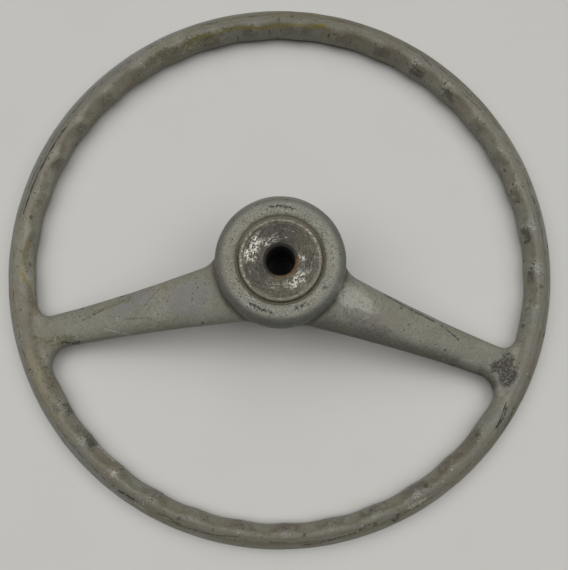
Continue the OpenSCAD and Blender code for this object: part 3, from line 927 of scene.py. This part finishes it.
def floor_material(stage):
    """A plain pale floor with a faint unevenness."""
    g = Surface("Pale floor")
    soft = g.step(g.noise(90, 2.0), 0.3, 0.7, 0.985, 1.0)
    return g.finish({"Base Color": g.shaded(stage.floor, soft), "Roughness": 0.9, "Specular IOR Level": 0.1})


def new_piece(name, work, material):
    """Makes an object from a bmesh, with smooth faces and sharp edges."""
    for face in work.faces:
        face.smooth = True
    for edge in work.edges:
        edge.smooth = len(edge.link_faces) == 2 and edge.calc_face_angle(0) < SHARP_ANGLE
    mesh = bpy.data.meshes.new(name)
    work.to_mesh(mesh)
    work.free()
    mesh.materials.append(material)
    piece = bpy.data.objects.new(name, mesh)
    bpy.context.scene.collection.objects.link(piece)
    return piece


def put_on_wheel(piece, node):
    """Lets a piece ride on the wheel in the place of its CAD node."""
    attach(piece, BODY)
    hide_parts(node)


def smooth(work, verts, factor):
    bmesh.ops.smooth_vert(work, verts=verts, factor=factor, use_axis_x=True, use_axis_y=True, use_axis_z=True)


def spun(profile, steps, bevel):
    """A round body from a closed profile of (radius, height) points, with its sharp edges bevelled."""
    work = bmesh.new()
    points = [work.verts.new((radius, 0.0, height)) for radius, height in profile]
    edges = [work.edges.new((a, b)) for a, b in zip(points, points[1:] + points[:1])]
    bmesh.ops.spin(
        work, geom=points + edges, axis=(0, 0, 1), cent=(0, 0, 0), dvec=(0, 0, 0),
        angle=math.tau, steps=steps, use_merge=True, use_duplicate=False,
    )
    bmesh.ops.remove_doubles(work, verts=work.verts, dist=MERGE_DISTANCE)
    bmesh.ops.dissolve_degenerate(work, edges=work.edges, dist=MERGE_DISTANCE)
    bmesh.ops.recalc_face_normals(work, faces=work.faces)
    sharp = [e for e in work.edges if len(e.link_faces) == 2 and e.calc_face_angle(0) > SHARP_ANGLE]
    bmesh.ops.bevel(
        work, geom=sharp, offset=bevel, offset_type="OFFSET", segments=3, profile=0.5, affect="EDGES",
        material=-1, clamp_overlap=True,
    )
    return work


def arc(centre_x, centre_y, radius, start, end, steps):
    """Points on an arc, with the angles in degrees."""
    points = []
    for i in range(steps + 1):
        turn = math.radians(start + (end - start) * i / steps)
        points.append((centre_x + radius * math.cos(turn), centre_y + radius * math.sin(turn)))
    return points


def crest_distance(place):
    """Distance along the rim from a place to the nearest crest between two recesses, or None outside the rows."""
    degrees = math.degrees(math.atan2(place.y, place.x))
    for first, pitch, count, lowest in GRIP_ROWS:
        step = ((degrees - lowest) % 360 + lowest - first) / pitch
        if -0.3 < step < count + 0.3:
            return abs(step - round(step)) * math.radians(pitch) * Vector((place.x, place.y)).length
    return None


class WHEEL_OT_moulding(bpy.types.Operator):
    """Rebuild the moulding as one smooth skin with rounded crests and fillets"""

    bl_idname = "wheel.moulding"
    bl_label = "Moulding"

    def execute(self, context):
        settings = context.scene.wheel_moulding
        work = self.skin(context, settings)
        for _ in range(settings.smoothing):
            smooth(work, work.verts, SMOOTH_SHRINK)
            smooth(work, work.verts, SMOOTH_SWELL)
        self.ease_corners(work, settings)
        work.normal_update()
        for vert in work.verts:
            vert.co += vert.normal * (self.lump(vert, settings) + self.crest(vert, settings))
        piece = new_piece("moulding", work, moulding_paint(settings))
        put_on_wheel(piece, MOULDING_NODE)
        return {"FINISHED"}

    def skin(self, context, settings):
        """A bmesh of the CAD node with even faces all over."""
        work = bmesh.new()
        work.from_mesh(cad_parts[MOULDING_NODE].data)
        bmesh.ops.remove_doubles(work, verts=work.verts, dist=MERGE_DISTANCE)
        mesh = bpy.data.meshes.new("moulding_rough")
        work.to_mesh(mesh)
        work.free()
        rough = bpy.data.objects.new("moulding_rough", mesh)
        context.scene.collection.objects.link(rough)
        remesh = rough.modifiers.new("Skin", "REMESH")
        remesh.mode = "VOXEL"
        remesh.voxel_size = settings.grain_size
        evaluated = rough.evaluated_get(context.evaluated_depsgraph_get())
        even = bmesh.new()
        even.from_mesh(evaluated.to_mesh())
        evaluated.to_mesh_clear()
        bpy.data.objects.remove(rough)
        bpy.data.meshes.remove(mesh)
        return even

    def ease_corners(self, work, settings):
        """Rounds the corners where the fillets below the spokes run into the rim."""
        across = settings.corner_radius * math.cos(settings.corner_angle)
        down = settings.corner_radius * math.sin(settings.corner_angle)
        for x in (-across, across):
            corner = Vector((x, -down, settings.tube_radius))
            for reach in CORNER_REACHES:
                near = [vert for vert in work.verts if (vert.co - corner).length < reach * MM]
                for _ in range(CORNER_ROUNDS):
                    smooth(work, near, SMOOTH_SHRINK)

    def lump(self, vert, settings):
        """Height of the slow lumps at a vertex."""
        return noise.noise(vert.co / settings.lump_size) * settings.lump_height

    def crest(self, vert, settings):
        """Extra height of the crests, on the inner back of the rim."""
        inward = settings.rim_radius - Vector((vert.co.x, vert.co.y)).length
        if abs(inward) > settings.tube_radius + 1 * MM:
            return 0.0
        away = crest_distance(vert.co)
        if away is None:
            return 0.0
        around = math.degrees(math.atan2(vert.co.z - settings.tube_radius, inward))
        facing = math.exp(-((around - CREST_FACING) / CREST_FADE) ** 2)
        return settings.crest_height * facing * math.exp(-(away / settings.crest_width) ** 2)


class WHEEL_OT_boss(bpy.types.Operator):
    """Turn the metal boss with its lip, dish, chamfer and bore"""

    bl_idname = "wheel.boss"
    bl_label = "Boss"

    def execute(self, context):
        settings = context.scene.wheel_boss
        low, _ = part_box(BOSS_NODE)
        back, bore, lip, crust = settings.back, settings.bore_radius, settings.lip_radius, settings.crust_radius
        crown = settings.flange_radius - lip
        shoulder, land, dish = back - FLANGE, back - LAND_DEPTH, back - DISH_DEPTH
        profile = [
            (bore, low.z),
            (settings.barrel_radius, low.z),
            (settings.barrel_radius, shoulder),
            (crust, shoulder),
            (crust, back - 0.4 * MM),
            (crust - 0.6 * MM, back - 0.9 * MM),
            *arc(crown, back - lip, lip, 18, 90, 8),
            *arc(crown, back - lip / 2, lip / 2, 110, 160, 4),
            (crown - lip / 2 - 0.1 * MM, land),
            (crown - lip / 2 - 1.2 * MM, land),
            (bore + MOUTH, dish),
            (bore, dish - MOUTH),
        ]
        work = spun(profile, 160, 0.2 * MM)
        for vert in work.verts:
            outward = Vector((vert.co.x, vert.co.y, 0)).normalized()
            vert.co += outward * noise.noise(vert.co / (3 * MM)) * 0.04 * MM
            if vert.co.z > back - 1.6 * MM:
                vert.co.z += (noise.noise(vert.co / (2.4 * MM)) - 0.5) * 0.25 * MM
        piece = new_piece("boss", work, BossMetal(settings, context.scene.wheel_moulding).material())
        put_on_wheel(piece, BOSS_NODE)
        return {"FINISHED"}


class WHEEL_OT_cap(bpy.types.Operator):
    """Make the plain domed cap in the front of the hub"""

    bl_idname = "wheel.cap"
    bl_label = "Cap"

    def execute(self, context):
        settings = context.scene.wheel_cap
        edge, front, wall = settings.edge_radius, settings.hub_front, settings.wall
        low = front - settings.dome
        seat = front + settings.edge
        dome = (edge ** 2 + settings.dome ** 2) / (2 * settings.dome)
        half = math.degrees(math.asin(edge / dome))
        inner = settings.spigot_radius - wall
        profile = [
            *arc(0.0, low + dome, dome, -90, half - 90, 16),
            (edge, seat),
            (settings.spigot_radius, seat),
            (settings.spigot_radius, seat + settings.spigot),
            (inner, seat + settings.spigot),
            (inner, front + wall / 2),
            (0.0, low + wall),
        ]
        work = spun(profile, 128, 0.35 * MM)
        piece = new_piece("cap", work, cap_paint(context.scene.wheel_moulding))
        put_on_wheel(piece, CAP_NODE)
        return {"FINISHED"}


# The soft lamps: name, power, elevation and azimuth in degrees. The one at the bottom of the picture is weak,
# because the photographer stood there.
SOFT_LAMPS = (
    ("right_lamp", 1.15, 59, 8),
    ("left_lamp", 1.2, 59, 172),
    ("top_lamp", 1.0, 58, 95),
    ("bottom_lamp", 0.1, 58, 268),
)


class WHEEL_OT_stage(bpy.types.Operator):
    """Set up the camera, the lamps and the pale floor"""

    bl_idname = "wheel.stage"
    bl_label = "Stage"

    def execute(self, context):
        settings = context.scene.wheel_stage
        scene = context.scene
        self.add_camera(scene, settings)
        self.add_floor(settings)
        self.add_lights(scene, settings)
        scene.view_settings.view_transform = "Standard"
        return {"FINISHED"}

    def add_camera(self, scene, settings):
        data = bpy.data.cameras.new("photo_camera")
        data.sensor_width = 36
        data.lens = settings.focal_pixels * data.sensor_width / PHOTO_LONG_SIDE
        data.shift_y = settings.shift_pixels / PHOTO_LONG_SIDE
        camera = bpy.data.objects.new("photo_camera", data)
        camera.location = (settings.camera_x, settings.camera_y, settings.camera_z)
        camera.rotation_euler = (settings.camera_tilt, settings.camera_roll, settings.camera_turn)
        scene.collection.objects.link(camera)
        scene.camera = camera

    def add_floor(self, settings):
        work = bmesh.new()
        bmesh.ops.create_grid(work, x_segments=1, y_segments=1, size=settings.floor_size / 2)
        floor = new_piece("floor", work, floor_material(settings))

    def add_lights(self, scene, settings):
        for name, power, elevation, azimuth in SOFT_LAMPS:
            data = bpy.data.lights.new(name, "SUN")
            data.energy = power
            data.angle = settings.sky_angle
            lamp = bpy.data.objects.new(name, data)
            lamp.rotation_euler = (0.0, math.radians(90 - elevation), math.radians(azimuth))
            scene.collection.objects.link(lamp)
        world = bpy.data.worlds.new("even_light")
        world.use_nodes = True
        background = world.node_tree.nodes["Background"]
        background.inputs["Color"].default_value = (*settings.floor, 1.0)
        background.inputs["Strength"].default_value = settings.world_light
        scene.world = world


class WHEEL_PT_panel(bpy.types.Panel):
    """Lists the pieces of the wheel and the stage"""

    bl_idname = "WHEEL_PT_panel"
    bl_label = "Steering wheel"
    bl_space_type = "VIEW_3D"
    bl_region_type = "UI"
    bl_category = "Steering wheel"

    def draw(self, context):
        for operator in OPERATORS:
            self.layout.operator(operator.bl_idname)


OPERATORS = (WHEEL_OT_moulding, WHEEL_OT_boss, WHEEL_OT_cap, WHEEL_OT_stage)
SETTINGS = {
    "wheel_moulding": MouldingSettings,
    "wheel_boss": BossSettings,
    "wheel_cap": CapSettings,
    "wheel_stage": StageSettings,
}
CLASSES = (*SETTINGS.values(), *OPERATORS, WHEEL_PT_panel)


def register():
    for cls in CLASSES:
        bpy.utils.register_class(cls)
    for name, cls in SETTINGS.items():
        setattr(bpy.types.Scene, name, bpy.props.PointerProperty(type=cls))


def unregister():
    for name in SETTINGS:
        delattr(bpy.types.Scene, name)
    for cls in reversed(CLASSES):
        bpy.utils.unregister_class(cls)


def main():
    register()
    bpy.ops.wheel.moulding()
    bpy.ops.wheel.boss()
    bpy.ops.wheel.cap()
    bpy.ops.wheel.stage()


if __name__ == "__main__":
    main()
